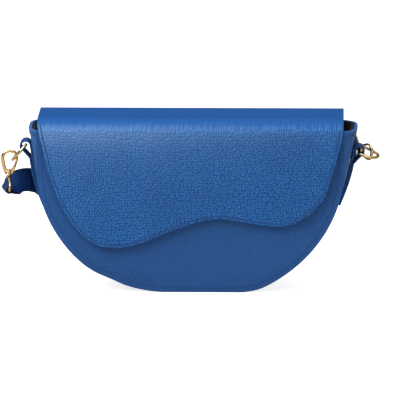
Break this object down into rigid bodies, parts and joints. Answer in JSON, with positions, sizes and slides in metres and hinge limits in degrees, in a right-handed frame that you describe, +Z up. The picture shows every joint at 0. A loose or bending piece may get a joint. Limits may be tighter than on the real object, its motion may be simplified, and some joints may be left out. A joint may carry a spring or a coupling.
{
  "type": "shoulder bag",
  "caption": "Half-moon shoulder bag in blue leather with a wavy full flap, side D-rings, snap hooks and an adjustable buckled strap lying behind it",
  "frame": {"origin": "centre of the bag's flat base, on the surface it stands on", "axes": "+X to the bag's left seen from behind (right in the front view), +Y to the back, +Z up"},
  "size_m": [0.3234, 0.1927, 0.149],
  "materials": {
    "front_leather": "satin, edges painted",
    "back_leather": "satin, edges painted",
    "gusset_leather": "satin, nearly smooth",
    "board": "matt board",
    "gusset_cloth": "plain weave",
    "front_cloth": "plain weave",
    "back_cloth": "plain weave",
    "pocket_cloth": "plain weave",
    "flap_grain": "pebbled, satin gloss",
    "flap_cloth": "plain weave",
    "socket_metal": "plain",
    "socket_washer_metal": "plain",
    "stud_metal": "plain",
    "stud_washer_metal": "plain",
    "tab_left_leather": "satin",
    "tab_right_leather": "satin",
    "ring_left_metal": "polished",
    "hook_metal_left": "polished",
    "gate_metal_left": "polished",
    "pin_metal_left": "polished",
    "eye_metal_left": "polished",
    "ring_right_metal": "polished",
    "hook_metal_right": "polished",
    "gate_metal_right": "polished",
    "pin_metal_right": "polished",
    "eye_metal_right": "polished",
    "strap_leather": "satin, edges painted",
    "strap_leather_short": "satin, edges painted",
    "buckle_metal": "polished",
    "prong_metal": "polished",
    "keeper_fixed_leather": "satin",
    "keeper_sliding_leather": "satin"
  },
  "bodies": {
    "bag": {"front_panel": "front_leather", "back_panel": "back_leather", "gusset": "gusset_leather", "gusset_stiffener": "board", "gusset_lining": "gusset_cloth", "front_lining": "front_cloth", "back_lining": "back_cloth", "slip_pocket": "pocket_cloth", "snap_socket": "socket_metal", "snap_socket_washer": "socket_washer_metal", "tab_left": "tab_left_leather", "tab_right": "tab_right_leather", "strap_long": "strap_leather", "strap_short": "strap_leather_short", "keeper_fixed": "keeper_fixed_leather"},
    "flap": {"flap_leather": "flap_grain", "flap_lining": "flap_cloth", "snap_stud": "stud_metal", "snap_stud_washer": "stud_washer_metal"},
    "ring_left": {"ring_left": "ring_left_metal"},
    "ring_right": {"ring_right": "ring_right_metal"},
    "eye_left": {"eye_left": "eye_metal_left"},
    "eye_right": {"eye_right": "eye_metal_right"},
    "hook_left": {"hook_left": "hook_metal_left", "gate_pin_left": "pin_metal_left"},
    "hook_right": {"hook_right": "hook_metal_right", "gate_pin_right": "pin_metal_right"},
    "gate_left": {"gate_left": "gate_metal_left"},
    "gate_right": {"gate_right": "gate_metal_right"},
    "buckle_frame": {"buckle_frame": "buckle_metal"},
    "buckle_prong": {"buckle_prong": "prong_metal"},
    "keeper_sliding": {"keeper_sliding": "keeper_sliding_leather"}
  },
  "joints": [
    {"name": "flap_hinge", "type": "hinge", "parent": "bag", "child": "flap", "pos_m": [0, 0.0353, 0.1433], "axis": [-1, 0, 0], "range_deg": [0, 175]},
    {"name": "ring_left_pivot", "type": "hinge", "parent": "bag", "child": "ring_left", "pos_m": [-0.14141, -0.00004, 0.12104], "axis": [-0.061, 0.9846, -0.164], "range_deg": [-1, 5]},
    {"name": "ring_right_pivot", "type": "hinge", "parent": "bag", "child": "ring_right", "pos_m": [0.14317, 0.00001, 0.11742], "axis": [0, -0.9878, -0.156], "range_deg": [-3, 2]},
    {"name": "eye_left_swing", "type": "hinge", "parent": "bag", "child": "eye_left", "pos_m": [-0.1573, -0.0024, 0.0837], "axis": [-0.2152, 0.9764, 0.0188], "range_deg": [0, 4]},
    {"name": "eye_right_swing", "type": "hinge", "parent": "bag", "child": "eye_right", "pos_m": [0.1378, 0.034, 0.1146], "axis": [0, 0, 1], "range_deg": [-2, 0]},
    {"name": "hook_left_swivel", "type": "hinge", "parent": "eye_left", "child": "hook_left", "pos_m": [-0.15613, -0.0024, 0.09715], "axis": [0.087, 0, 0.9962], "range_deg": [-15, 15]},
    {"name": "hook_right_swivel", "type": "hinge", "parent": "eye_right", "child": "hook_right", "pos_m": [0.14455, 0.02231, 0.1146], "axis": [0.5, -0.866, 0], "range_deg": [-5, 5]},
    {"name": "gate_left_hinge", "type": "hinge", "parent": "hook_left", "child": "gate_left", "pos_m": [-0.15156, -0.0024, 0.10147], "axis": [0, -1, 0], "range_deg": [0, 5], "stiffness_Nm_per_rad": 0.0004},
    {"name": "gate_right_hinge", "type": "hinge", "parent": "hook_right", "child": "gate_right", "pos_m": [0.1469, 0.01824, 0.11877], "axis": [0.866, 0.5, 0], "range_deg": [0, 4], "stiffness_Nm_per_rad": 0.0004},
    {"name": "buckle_frame_tilt", "type": "hinge", "parent": "bag", "child": "buckle_frame", "pos_m": [0.006, 0.146, 0.0142], "axis": [0, 0, -1], "range_deg": [0, 4]},
    {"name": "prong_lift", "type": "hinge", "parent": "buckle_frame", "child": "buckle_prong", "pos_m": [0.006, 0.146, 0.0142], "axis": [0, 0, -1], "range_deg": [0, 6]},
    {"name": "keeper_slide", "type": "slide", "parent": "bag", "child": "keeper_sliding", "axis": [1, 0, 0], "range_m": [-0.004, 0.014]}
  ]
}
